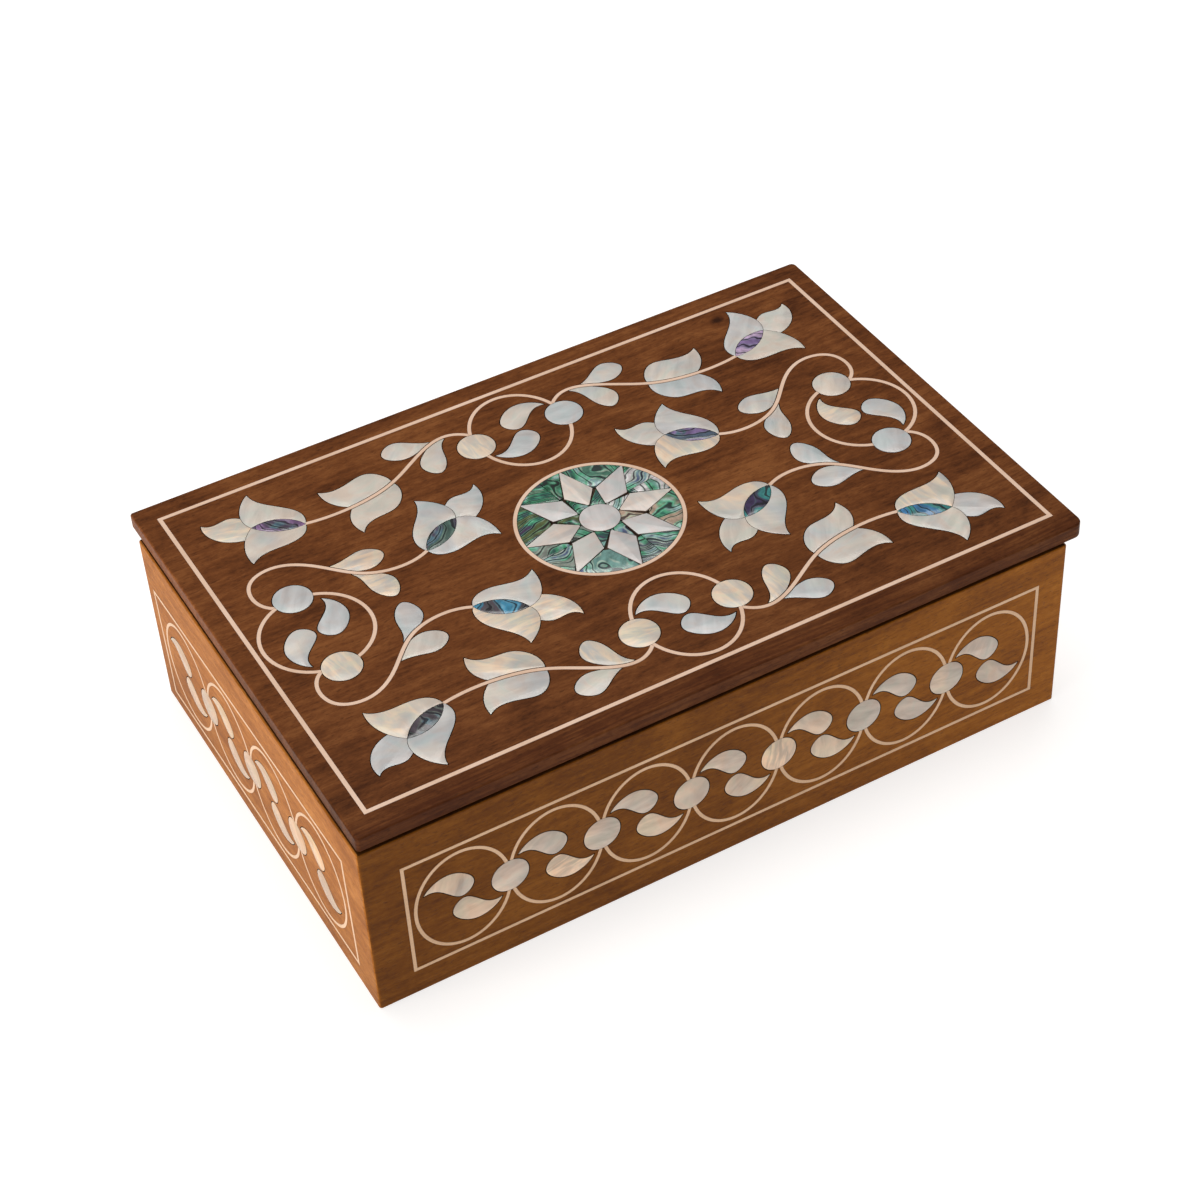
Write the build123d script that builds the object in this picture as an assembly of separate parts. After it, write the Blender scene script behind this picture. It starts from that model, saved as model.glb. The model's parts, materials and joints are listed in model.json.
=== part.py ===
"""Hinged walnut box with shell and pale string inlay.

Units are millimetres.  The origin is the centre of the box's underside, +X runs along the
length to the right, +Y to the back where the hinges are, and +Z up.
"""
from build123d import *
import os

# ---------------------------------------------------------------- driving dimensions
# carcass
body_length = 234.6
body_width = 153.2
body_height = 63.9
wall = 8.0
base_thickness = 4.0
base_rebate = 4.0
base_play = 0.1
corner_round = 0.9
rim_round = 0.5
foot_round = 0.5

# lid board, which sits to the right and to the back of the carcass's centre
lid_length = 240.0
lid_width = 159.0
lid_thickness = 5.2
lid_shift_x = 3.4
lid_shift_y = 3.4
lid_corners = {(-1, -1): 1.2, (1, -1): 3.0, (1, 1): 1.8, (-1, 1): 0.9}
lid_top_round = 0.7
lid_under_round = 0.5
rim_gap = 0.6

# inlay
inlay_depth = 1.0
inlay_proud = 0.03
glue_line = 0.26
string_play = 0.06
border_string = 1.3
scroll_string = 1.15
wall_string = 1.05
mosaic_gap = 0.14
retrace_steps = 8
loose_sliver = 4.0
loose_chip = 1.0

# lid pattern, measured from the lid's centre
border_half_x = 113.2
border_half_y = 71.6
disc_radius = 6.05
side_oval_y = 50.3
side_oval_half = (15.5, 18.15)
end_oval_x = 94.0
end_oval_half = (16.9, 16.6)
medallion_radius = 25.6
medallion_disc = 6.25
star_points = 8
star_inner = 7.0
star_shoulder = 13.2
star_half_width = 4.95
star_overlap = 0.4
shard_inset = 0.2
shard_split_width = 0.2

# wall patterns: frame half sizes, number of ovals and their pitch, the pattern's centre and its tilt
frame_half_height = 21.0
wall_oval_half_height = 18.2
wall_disc_radius = 5.95
wall_comma_scale = 0.94
front_frame_half = 106.2
front_ovals = 7
front_pitch = 29.7
front_centre = (1.1, 30.7)
front_tilt = 0.0
side_frame_half = 67.2
side_ovals = 4
side_pitch = 32.0
side_centre = (-3.1, 27.7)
side_tilt = 1.3

# hinges
hinge_x = 72.0
hinge_length = 25.0
hinge_knuckle = 1.7
hinge_setback = 2.1
hinge_leaf_depth = 6.4
hinge_leaf_thickness = 0.9
hinge_middle_knuckle = 8.4
hinge_end_play = 0.15
hinge_leaf_play = 0.3
hinge_pin_radius = 0.75
hinge_pin_fixed_play = 0.01
hinge_pin_running_play = 0.05
hinge_mortise_play = 0.05
hinge_barrel_room = 0.4
pin_head_radius = 1.1
pin_head_height = 0.45

# screws
screw_pitch = 15.0
screw_setback = 3.5
screw_shank = 0.95
screw_head = 1.85
screw_point = 1.6
screw_tip = 0.1
screw_play = 0.02
body_screw_length = 8.0
lid_screw_length = 3.9
screw_slot_width = 0.4
screw_slot_depth = 0.35

# velvet lining on thin card
lining = 1.0
lining_play = 0.05
lining_rim_drop = 1.2
lid_lining_margin = 1.6

# ---------------------------------------------------------------- derived places
half_length = body_length / 2
half_width = body_width / 2
inner_half_length = half_length - wall
inner_half_width = half_width - wall
lid_under = body_height + rim_gap
lid_top = lid_under + lid_thickness
hinge_y = half_width + hinge_setback
hinge_z = body_height + rim_gap / 2
leaf_front = half_width - hinge_leaf_depth
leaf_back = hinge_y - hinge_knuckle - hinge_leaf_play
screw_y = half_width - screw_setback
lid_plane = Plane(origin=(lid_shift_x, lid_shift_y, lid_top), x_dir=(1, 0, 0), z_dir=(0, 0, 1))
front_plane = Plane(origin=(0, -half_width, 0), x_dir=(1, 0, 0), z_dir=(0, -1, 0))
back_plane = Plane(origin=(0, half_width, 0), x_dir=(-1, 0, 0), z_dir=(0, 1, 0))
left_plane = Plane(origin=(-half_length, 0, 0), x_dir=(0, -1, 0), z_dir=(-1, 0, 0))
right_plane = Plane(origin=(half_length, 0, 0), x_dir=(0, 1, 0), z_dir=(1, 0, 0))

os.makedirs("parts", exist_ok=True)


# ---------------------------------------------------------------- solids and files
def save(node, shapes):
    """Write one node, a single solid or a group of separate ones."""
    found = [solid for shape in shapes for solid in shape.solids()]
    export_step(found[0] if len(found) == 1 else Compound(children=found), f"parts/{node}.step")


def block(x0, x1, y0, y1, z0, z1):
    """A plain box between two corners."""
    return Pos((x0 + x1) / 2, (y0 + y1) / 2, (z0 + z1) / 2) * Box(x1 - x0, y1 - y0, z1 - z0)


def rod(radius, x0, x1):
    """A cylinder along the hinge axis."""
    return Pos((x0 + x1) / 2, hinge_y, hinge_z) * Rot(0, 90, 0) * Cylinder(radius, x1 - x0)


def edges_near(shape, axis, place):
    """The edges that lie wholly at one height along an axis."""
    return shape.edges().filter_by_position(axis, place - 0.01, place + 0.01)


# ---------------------------------------------------------------- flat outlines
def outline(*sides):
    """A face bounded by smooth sides, each a list of points that starts where the last ended."""
    return make_face([Line(*side) if len(side) == 2 else Spline(*side) for side in sides]).face()


def lens(start, upper, end, lower):
    """A pointed lens from start to end, through one point on each side."""
    return make_face([ThreePointArc(start, upper, end), ThreePointArc(end, lower, start)]).face()


def polygon(*points):
    """A straight-sided face."""
    return make_face(Polyline(*points, close=True)).face()


def disc(x, y, radius):
    """A round face."""
    return (Pos(x, y) * Circle(radius)).face()


def ribbon(points, width):
    """A string of even width along a smooth line through the points."""
    path = Spline(*points)
    steps = 4 * (len(points) - 1)
    near, far = [], []
    for i in range(steps + 1):
        middle = path @ (i / steps)
        aside = (path % (i / steps)).rotate(Axis.Z, 90) * (width / 2)
        near.append(middle + aside)
        far.append(middle - aside)
    return outline(near, [near[-1], far[-1]], far[::-1], [far[0], near[0]])


def oval(x, y, half, width):
    """A closed oval string of even width."""
    outer = Ellipse(half[0] + width / 2, half[1] + width / 2)
    inner = Ellipse(half[0] - width / 2, half[1] - width / 2)
    return (Pos(x, y) * (outer - inner)).face()


def flipped(face, plane):
    """A face's mirror image."""
    return mirror(face, about=plane).face()


def string_frame(half_x, half_y, width):
    """Four mitred strips round a rectangle."""
    out_x, out_y = half_x + width / 2, half_y + width / 2
    in_x, in_y = half_x - width / 2, half_y - width / 2
    long_strip = polygon((-out_x, out_y), (out_x, out_y), (in_x, in_y), (-in_x, in_y))
    end_strip = polygon((out_x, out_y), (out_x, -out_y), (in_x, -in_y), (in_x, in_y))
    return [long_strip, flipped(long_strip, Plane.XZ), end_strip, flipped(end_strip, Plane.YZ)]


def comma_pair(scale):
    """Two commas of shell head to head, each a round head with a tail that curls outwards."""
    points = [(12.6, 7.2), (9.2, 10.4), (4.2, 11.7), (-1.8, 8.9), (-3.9, 4.5)]
    points += [(0.2, 0.55), (3.9, 2.8), (7.4, 6.2), (12.6, 7.2)]
    comma = outline([(x * scale, y * scale) for x, y in points])
    return [comma, Rot(0, 0, 180) * comma]


def retraced(edge):
    """The same edge, as a line, an arc or a plain smooth curve."""
    if edge.geom_type in (GeomType.LINE, GeomType.CIRCLE):
        return edge
    return Spline(*[edge @ (i / retrace_steps) for i in range(retrace_steps + 1)])


def grown(faces, amount):
    """Each face made larger all round."""
    rims = [offset(face, amount, kind=Kind.ARC).face().outer_wire() for face in faces]
    return [make_face([retraced(edge) for edge in rim.edges()]).face() for rim in rims]


def boxes_meet(a, b):
    """Whether two faces' bounding boxes overlap."""
    box_a, box_b = a.bounding_box(), b.bounding_box()
    return (
        box_a.min.X < box_b.max.X
        and box_b.min.X < box_a.max.X
        and box_a.min.Y < box_b.max.Y
        and box_b.min.Y < box_a.max.Y
    )


def cut(faces, tools):
    """What is left of the faces outside the tools."""
    left = []
    for face in faces:
        rest = Sketch([face])
        for tool in tools:
            if boxes_meet(face, tool):
                rest -= tool
        left += rest.faces()
    return left


def four_ways(faces):
    """Each face in all four quarters of the lid."""
    both = list(faces) + [flipped(face, Plane.YZ) for face in faces]
    return both + [flipped(face, Plane.XZ) for face in both]


def inlay(plane, faces):
    """Solid pieces let into a surface, a hair proud of it."""
    lift = Location(plane.z_dir * inlay_proud)
    thickness = inlay_depth + inlay_proud
    return [extrude(plane * face, amount=thickness, dir=-plane.z_dir).moved(lift) for face in faces]


def pockets(plane, faces):
    """The shallow hollows that pieces are let into."""
    return [extrude(plane * face, amount=inlay_depth, dir=-plane.z_dir) for face in faces]


# ---------------------------------------------------------------- lid pattern
def tulip(base, eye_upper, tip, eye_lower, upper_petal, lower_petal, third_petal):
    """The eye and the three petals of a tulip; each petal's sides run from point to point."""
    eye = lens(base, eye_upper, tip, eye_lower)
    first = outline(*upper_petal, [tip, base])
    second = outline(*lower_petal, [tip, base])
    around_eye = grown([eye], mosaic_gap)
    petals = cut([first, second], around_eye)
    third = cut([outline(*third_petal)], around_eye + grown(petals, mosaic_gap))
    return [eye], petals + [max(third, key=lambda face: face.area)]


def corner_tulip():
    """The tulip in the lid's corner, at the end of the long vine."""
    base, tip = (76.4, 45.6), (91.1, 52.7)
    return tulip(
        base, (82.3, 51.9), tip, (84.7, 46.9),
        [
            [base, (75.6, 51.0), (80.0, 57.3), (85.0, 63.2), (86.2, 67.6)],
            [(86.2, 67.6), (90.6, 62.8), (92.3, 57.5), tip],
        ],
        [
            [base, (79.3, 41.3), (84.6, 40.0), (91.3, 39.9), (97.3, 37.2)],
            [(97.3, 37.2), (97.3, 42.8), (95.2, 48.2), tip],
        ],
        [
            [(89.2, 55.2), (92.2, 58.4), (95.3, 60.3), (99.8, 59.9), (104.0, 61.6)],
            [(104.0, 61.6), (104.2, 57.0), (101.4, 51.8), (96.0, 48.7), (91.0, 48.2)],
            [(91.0, 48.2), (89.2, 55.2)],
        ],
    )


def inner_tulip():
    """The tulip beside the medallion, at the end of the short vine."""
    base, tip = (50.8, 14.6), (36.8, 23.4)
    return tulip(
        base, (45.5, 21.7), tip, (42.3, 16.4),
        [
            [base, (52.2, 19.5), (50.6, 24.6), (46.5, 30.2), (43.8, 37.2)],
            [(43.8, 37.2), (39.0, 33.2), (36.3, 28.4), tip],
        ],
        [
            [base, (48.4, 11.2), (42.8, 10.1), (35.4, 11.7), (28.6, 9.6)],
            [(28.6, 9.6), (29.3, 16.4), (32.2, 21.4), tip],
        ],
        [
            [(39.0, 26.6), (36.9, 30.2), (33.6, 32.3), (29.2, 32.1), (25.0, 34.5)],
            [(25.0, 34.5), (25.2, 28.2), (28.4, 23.0), (33.0, 20.0), (37.0, 19.2)],
            [(37.0, 19.2), (39.0, 26.6)],
        ],
    )


def bud():
    """Two petals that the long vine runs between."""
    upper = outline(
        [(45.6, 48.0), (46.6, 53.2), (51.0, 57.0), (56.6, 56.2), (61.6, 55.1), (67.2, 56.8)],
        [(67.2, 56.8), (66.3, 50.8), (61.4, 45.2)],
        [(61.4, 45.2), (52.0, 46.8), (45.6, 48.0)],
    )
    lower = outline(
        [(45.4, 48.6), (45.6, 42.2), (50.0, 37.5), (56.2, 36.5), (63.0, 32.4)],
        [(63.0, 32.4), (64.2, 38.4), (60.6, 45.2)],
        [(60.6, 45.2), (52.0, 46.8), (45.4, 48.6)],
    )
    return [upper, lower]


def leaves():
    """The four teardrop leaves on the two vines of one quarter."""
    rims = [
        [(26.2, 60.0), (32.0, 62.9), (38.3, 65.8), (42.8, 61.8), (38.6, 57.2), (32.0, 57.8)],
        [(22.3, 59.2), (25.3, 54.6), (26.8, 48.8), (30.6, 45.0), (34.5, 49.3), (32.0, 55.2)],
        [(80.0, 24.3), (72.4, 24.8), (66.8, 25.4), (62.4, 21.1), (67.0, 16.8), (74.0, 18.6)],
        [(74.6, 17.2), (69.4, 14.5), (64.3, 8.6), (67.5, 1.9), (72.1, 6.5), (73.0, 12.6)],
    ]
    return [outline(rim + rim[:1]) for rim in rims]


def vines(width):
    """The long and the short vine of one quarter."""
    long_vine = [(14.8, 56.4), (22.8, 60.2), (31.5, 57.2), (46.0, 48.6), (60.0, 45.1), (77.2, 45.9)]
    short_vine = [(50.0, 15.2), (60.0, 12.6), (70.8, 15.5), (83.0, 27.2), (94.0, 32.6)]
    short_vine += [(101.9, 29.8), (104.1, 23.5), (99.0, 15.2)]
    return [ribbon(long_vine, width), ribbon(short_vine, width)]


def ovals(width):
    """The four closed strings round the comma pairs."""
    across = [oval(0, y, side_oval_half, width) for y in (side_oval_y, -side_oval_y)]
    along = [oval(x, 0, end_oval_half, width) for x in (end_oval_x, -end_oval_x)]
    return across + along


def lid_discs():
    """The discs that the ovals run into."""
    side = [disc(x, y, disc_radius) for x in (-15.6, 15.6) for y in (-side_oval_y, side_oval_y)]
    end = [disc(x, y, disc_radius) for x in (-end_oval_x, end_oval_x) for y in (-16.8, 16.8)]
    return side + end


def lid_commas():
    """The comma pairs, mirrored from side to side and from front to back."""
    back = [Pos(-0.2, side_oval_y) * comma for comma in comma_pair(1.0)]
    turned = [flipped(Rot(0, 0, -90) * comma, Plane.XZ) for comma in comma_pair(1.0)]
    left = [Pos(-end_oval_x, 0) * comma for comma in turned]
    front = [flipped(comma, Plane.XZ) for comma in back]
    right = [flipped(comma, Plane.YZ) for comma in left]
    return back + front + left + right


def star_arm():
    """One pointed kite of the medallion's star, lying along +X."""
    arm = polygon(
        (star_inner - star_overlap, 0), (star_shoulder, star_half_width),
        (medallion_radius, 0), (star_shoulder, -star_half_width),
    )
    return cut([arm], [disc(0, 0, star_inner)])[0]


def medallion():
    """The star's arms, and the dark mosaic of shell that fills in between them."""
    field = disc(0, 0, medallion_radius - scroll_string / 2 - mosaic_gap)
    turn = 360 / star_points
    arms = [Rot(0, 0, turn * i) * star_arm() for i in range(star_points)]
    arms = [(Sketch([arm]) & field).face() for arm in arms]
    outer = polygon(
        (star_shoulder + 1.0, star_half_width), (medallion_radius, shard_inset),
        (medallion_radius * 1.2, medallion_radius * 0.5),
        (medallion_radius * 0.75, medallion_radius * 0.75 - shard_inset),
        (star_shoulder * 0.98, star_shoulder * 0.6),
    )
    inner = polygon(
        (star_inner - star_overlap, shard_inset),
        (star_shoulder - 3 * shard_inset, star_half_width - shard_inset),
        (star_inner * 0.7 - 0.5 * shard_inset, star_inner * 0.7 - 2 * shard_inset),
    )
    split_start, split_end = (11.5, 5.9), (28.0, 8.3)
    split = polygon(
        (split_start[0], split_start[1] + shard_split_width), split_start,
        split_end, (split_end[0], split_end[1] + shard_split_width),
    )
    keep_out = grown(arms + [disc(0, 0, medallion_disc)], mosaic_gap)
    mosaic = []
    for i in range(star_points):
        here = Rot(0, 0, turn * i)
        shards = [here * outer, here * inner]
        shards = [(Sketch([shard]) & field).face() for shard in shards]
        if i % 2 == 0:
            shards = cut(shards, [here * split])
        mosaic += cut(shards, keep_out)
    return arms, [shard for shard in mosaic if shard.area > loose_chip]


def lid_inlay():
    """Every flat piece of the lid's pattern, by node, and the outlines of the hollows for them."""
    corner_eye, corner_petals = corner_tulip()
    inner_eye, inner_petals = inner_tulip()
    eyes = four_ways(corner_eye + inner_eye)
    petals = four_ways(corner_petals + inner_petals)
    discs = lid_discs()
    wide = scroll_string + 2 * glue_line
    roomy = scroll_string + 2 * string_play
    stems = four_ways(vines(wide))
    loops = ovals(roomy)
    ends = grown(discs + petals + eyes, string_play)
    arms, mosaic = medallion()
    pieces = {
        "lid_tulip_eyes": eyes,
        "lid_tulip_petals": petals,
        "lid_bud_petals": whole(cut(four_ways(bud()), stems)),
        "lid_leaves": whole(cut(four_ways(leaves()), stems)),
        "lid_discs": discs,
        "lid_commas": cut(lid_commas(), ovals(wide)),
        "medallion_star": arms,
        "medallion_centre": [disc(0, 0, medallion_disc)],
        "medallion_mosaic": mosaic,
        "medallion_ring": [oval(0, 0, (medallion_radius, medallion_radius), scroll_string)],
        "lid_ovals": whole(cut(ovals(scroll_string), ends)),
        "lid_vines": whole(cut(four_ways(vines(scroll_string)), ends + loops)),
        "lid_border": string_frame(border_half_x, border_half_y, border_string),
    }
    shells = [pieces[node] for node in ("lid_tulip_eyes", "lid_tulip_petals", "lid_bud_petals")]
    shells += [pieces[node] for node in ("lid_leaves", "lid_discs", "lid_commas")]
    hollows = grown([face for faces in shells for face in faces], glue_line)
    hollows += four_ways(vines(roomy)) + loops
    hollows += [disc(0, 0, medallion_radius + scroll_string / 2 + string_play)]
    hollows += string_frame(border_half_x, border_half_y, border_string + 2 * string_play)
    return pieces, hollows


def whole(faces):
    """The faces without the slivers that crossing lines cut off."""
    return [face for face in faces if face.area > loose_sliver]


# ---------------------------------------------------------------- wall pattern
def wall_inlay(frame_half, count, pitch, centre, tilt):
    """The flat pieces of one wall's pattern, by kind, and the outlines of the hollows for them."""
    middles = [(i - (count - 1) / 2) * pitch for i in range(count)]
    half = (pitch / 2, wall_oval_half_height)
    discs = [disc(x + pitch / 2, 0, wall_disc_radius) for x in middles[:-1]]
    pair = [flipped(comma, Plane.YZ) for comma in comma_pair(wall_comma_scale)]
    commas = [Pos(x, 0) * comma for x in middles for comma in pair]
    roomy = wall_string + 2 * string_play
    ends = grown(discs, string_play)
    pieces = {
        "frame": string_frame(frame_half, frame_half_height, wall_string),
        "ovals": cut([oval(x, 0, half, wall_string) for x in middles], ends),
        "discs": discs,
        "commas": cut(commas, grown(discs, glue_line)),
    }
    hollows = grown(discs + pieces["commas"], glue_line)
    hollows += [oval(x, 0, half, roomy) for x in middles]
    hollows += string_frame(frame_half, frame_half_height, roomy)
    place = Pos(*centre) * Rot(0, 0, tilt)
    pieces = {kind: [place * face for face in faces] for kind, faces in pieces.items()}
    return pieces, [place * hollow for hollow in hollows]


# ---------------------------------------------------------------- hinges and screws
def hinge_pin(x):
    """A pin with peened ends."""
    half = hinge_length / 2 + hinge_end_play
    pin = rod(hinge_pin_radius, x - half, x + half)
    for side in (-1, 1):
        near, far = x + side * half, x + side * (half + pin_head_height)
        head = rod(pin_head_radius, *sorted((near, far)))
        pin += fillet(edges_near(head, Axis.X, far), pin_head_height * 0.8)
    return pin


def screw_holes(x, z, up):
    """The countersunk holes through one leaf."""
    cone = Cone(screw_shank + screw_play, screw_head + screw_play, hinge_leaf_thickness)
    cone = cone if up else Rot(180, 0, 0) * cone
    return [Pos(x + side * screw_pitch / 2, screw_y, z) * cone for side in (-1, 1)]


def body_leaf(x):
    """The leaf let into the top of the back wall, with the two outer knuckles."""
    half = hinge_length / 2
    inner = hinge_middle_knuckle / 2 + hinge_end_play
    low = body_height - hinge_leaf_thickness
    leaf = block(x - half, x + half, leaf_front, leaf_back, low, body_height)
    for side in (-1, 1):
        near, far = sorted((x + side * inner, x + side * half))
        leaf += block(near, far, leaf_back, hinge_y, low, body_height)
        leaf += rod(hinge_knuckle, near, far)
    leaf -= rod(hinge_pin_radius + hinge_pin_fixed_play, x - half - 1, x + half + 1)
    return leaf - screw_holes(x, low + hinge_leaf_thickness / 2, True)


def lid_leaf(x):
    """The leaf let into the lid's underside, with the middle knuckle."""
    half = hinge_length / 2
    inner = hinge_middle_knuckle / 2
    high = lid_under + hinge_leaf_thickness
    leaf = block(x - half, x + half, leaf_front, leaf_back, lid_under, high)
    leaf += block(x - inner, x + inner, leaf_back, hinge_y, lid_under, high)
    leaf += rod(hinge_knuckle, x - inner, x + inner)
    leaf -= rod(hinge_pin_radius + hinge_pin_running_play, x - half - 1, x + half + 1)
    return leaf - screw_holes(x, lid_under + hinge_leaf_thickness / 2, False)


def screw(length, slack=0.0):
    """A countersunk screw that points down, its head's top at the origin; slack makes its hole."""
    shank, head, tip = screw_shank + slack, screw_head + slack, screw_tip + slack
    straight = length - screw_point - hinge_leaf_thickness
    body = Pos(0, 0, -hinge_leaf_thickness / 2) * Cone(shank, head, hinge_leaf_thickness)
    body += Pos(0, 0, -hinge_leaf_thickness - straight / 2) * Cylinder(shank, straight)
    return body + Pos(0, 0, -length + screw_point / 2) * Cone(tip, shank, screw_point)


def slotted(body):
    """The screw with its driver slot."""
    slot = Box(2 * screw_head + 1, screw_slot_width, screw_slot_depth)
    return body - Pos(0, 0, -screw_slot_depth / 2) * slot


def screw_places(z, turn):
    """Where the screws of one body stand."""
    return [
        Pos(side * hinge_x + end * screw_pitch / 2, screw_y, z) * Rot(turn, 0, 0)
        for side in (-1, 1)
        for end in (-1, 1)
    ]


# ---------------------------------------------------------------- carcass
def carcass():
    """The four walls as one mitred ring, eased at its outer edges."""
    ring = block(-half_length, half_length, -half_width, half_width, 0, body_height)
    ring = fillet(ring.edges().filter_by(Axis.Z), corner_round)
    ring = fillet(edges_near(ring, Axis.Z, body_height), rim_round)
    ring = fillet(edges_near(ring, Axis.Z, 0), foot_round)
    room_x, room_y = inner_half_length, inner_half_width
    ring -= block(-room_x, room_x, -room_y, room_y, -1, body_height + 1)
    seat_x, seat_y = room_x + base_rebate, room_y + base_rebate
    return ring - block(-seat_x, seat_x, -seat_y, seat_y, -1, base_thickness)


def mitre_wedge(half_a, half_b, turn):
    """The region that one wall keeps of the ring, cut off at 45 degrees at both ends."""
    beyond, within = 10, 30
    shape = polygon(
        (-half_a - beyond, -half_b - beyond), (half_a + beyond, -half_b - beyond),
        (half_a - within, -half_b + within), (-half_a + within, -half_b + within),
    )
    return Rot(0, 0, turn) * extrude(Pos(0, 0, -1) * shape, amount=body_height + 2)


def hinge_mortises():
    """The shallow housings for the body leaves in the back wall's top."""
    half = hinge_length / 2 + hinge_mortise_play
    front = leaf_front - hinge_mortise_play
    floor = body_height - hinge_leaf_thickness
    return [
        block(side * hinge_x - half, side * hinge_x + half, front, hinge_y, floor, body_height + 1)
        for side in (-1, 1)
    ]


def lid_board():
    """The lid's board with its edges eased, before anything is let into it."""
    half_x, half_y = lid_length / 2, lid_width / 2
    board = block(-half_x, half_x, -half_y, half_y, lid_under, lid_top)
    for (side_x, side_y), radius in lid_corners.items():
        corner = (side_x * half_x, side_y * half_y, lid_top)
        upright = board.edges().filter_by(Axis.Z).sort_by_distance(corner)[0]
        board = fillet(upright, radius)
    board = fillet(edges_near(board, Axis.Z, lid_top), lid_top_round)
    board = fillet(edges_near(board, Axis.Z, lid_under), lid_under_round)
    return Pos(lid_shift_x, lid_shift_y, 0) * board


def lid_housings():
    """What the lid's underside gives up to the hinges."""
    half = hinge_length / 2 + hinge_mortise_play
    front = leaf_front - hinge_mortise_play
    room = hinge_length / 2 + hinge_end_play + pin_head_height + hinge_barrel_room
    high = lid_under + hinge_leaf_thickness
    housings = []
    for side in (-1, 1):
        x = side * hinge_x
        housings.append(block(x - half, x + half, front, hinge_y, lid_under - 1, high))
        housings.append(rod(hinge_knuckle + hinge_barrel_room, x - room, x + room))
    return housings


# ---------------------------------------------------------------- the pieces
body_screw_places = screw_places(body_height, 0)
lid_screw_places = screw_places(lid_under, 180)

lid_pieces, lid_hollows = lid_inlay()
for node, faces in lid_pieces.items():
    save(node, inlay(lid_plane, faces))
lid_panel = lid_board() - lid_housings() - pockets(lid_plane, lid_hollows)
lid_panel -= [place * screw(lid_screw_length, screw_play) for place in lid_screw_places]
save("lid_panel", [lid_panel])

walls = carcass()
long_wedge = (half_length, half_width)
short_wedge = (half_width, half_length)
long_wall = (front_frame_half, front_ovals, front_pitch, front_centre, front_tilt)
short_wall = (side_frame_half, side_ovals, side_pitch, side_centre, side_tilt)
mirrored_short_wall = short_wall[:3] + ((-side_centre[0], side_centre[1]), -side_tilt)
for name, plane, wedge, turn, pattern in (
    ("front", front_plane, long_wedge, 0, long_wall),
    ("right", right_plane, short_wedge, 90, mirrored_short_wall),
    ("back", back_plane, long_wedge, 180, long_wall),
    ("left", left_plane, short_wedge, 270, short_wall),
):
    pieces, hollows = wall_inlay(*pattern)
    for kind, faces in pieces.items():
        save(f"{name}_{kind}", inlay(plane, faces))
    panel = (walls & mitre_wedge(*wedge, turn)) - pockets(plane, hollows)
    if name == "back":
        panel -= hinge_mortises()
        panel -= [place * screw(body_screw_length, screw_play) for place in body_screw_places]
    save(f"{name}_panel", [panel])

base_x = inner_half_length + base_rebate - base_play
base_y = inner_half_width + base_rebate - base_play
save("base_panel", [block(-base_x, base_x, -base_y, base_y, 0, base_thickness)])

for side, name in ((-1, "left"), (1, "right")):
    x = side * hinge_x
    save(f"hinge_{name}_body_leaf", [body_leaf(x)])
    save(f"hinge_{name}_lid_leaf", [lid_leaf(x)])
    save(f"hinge_{name}_pin", [hinge_pin(x)])
save("hinge_body_screws", [place * slotted(screw(body_screw_length)) for place in body_screw_places])
save("hinge_lid_screws", [place * slotted(screw(lid_screw_length)) for place in lid_screw_places])

pad_x = inner_half_length - lining_play
pad_y = inner_half_width - lining_play
pad_top = base_thickness + lining
skirt_low, skirt_high = pad_top, body_height - lining_rim_drop
save("lining_floor", [block(-pad_x, pad_x, -pad_y, pad_y, base_thickness, pad_top)])
save("lining_front", [block(-pad_x, pad_x, -pad_y, -pad_y + lining, skirt_low, skirt_high)])
save("lining_back", [block(-pad_x, pad_x, pad_y - lining, pad_y, skirt_low, skirt_high)])
end_y = pad_y - lining - lining_play
save("lining_left", [block(-pad_x, -pad_x + lining, -end_y, end_y, skirt_low, skirt_high)])
save("lining_right", [block(pad_x - lining, pad_x, -end_y, end_y, skirt_low, skirt_high)])
cover_x = inner_half_length - lining - lid_lining_margin
cover_y = inner_half_width - lining - lid_lining_margin
save("lining_lid", [block(-cover_x, cover_x, -cover_y, cover_y, lid_under - lining, lid_under)])
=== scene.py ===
"""Looks of the inlaid walnut box: studio, camera, velvet lining and the material of every piece.

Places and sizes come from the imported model, in metres.  Texture coordinates inside the materials
are in millimetres, measured in the box's own frame, so the grain stays on its board at any pose.
"""
import json
import math
import random

import bmesh
import bpy
from mathutils import Matrix, Vector, noise

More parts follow.
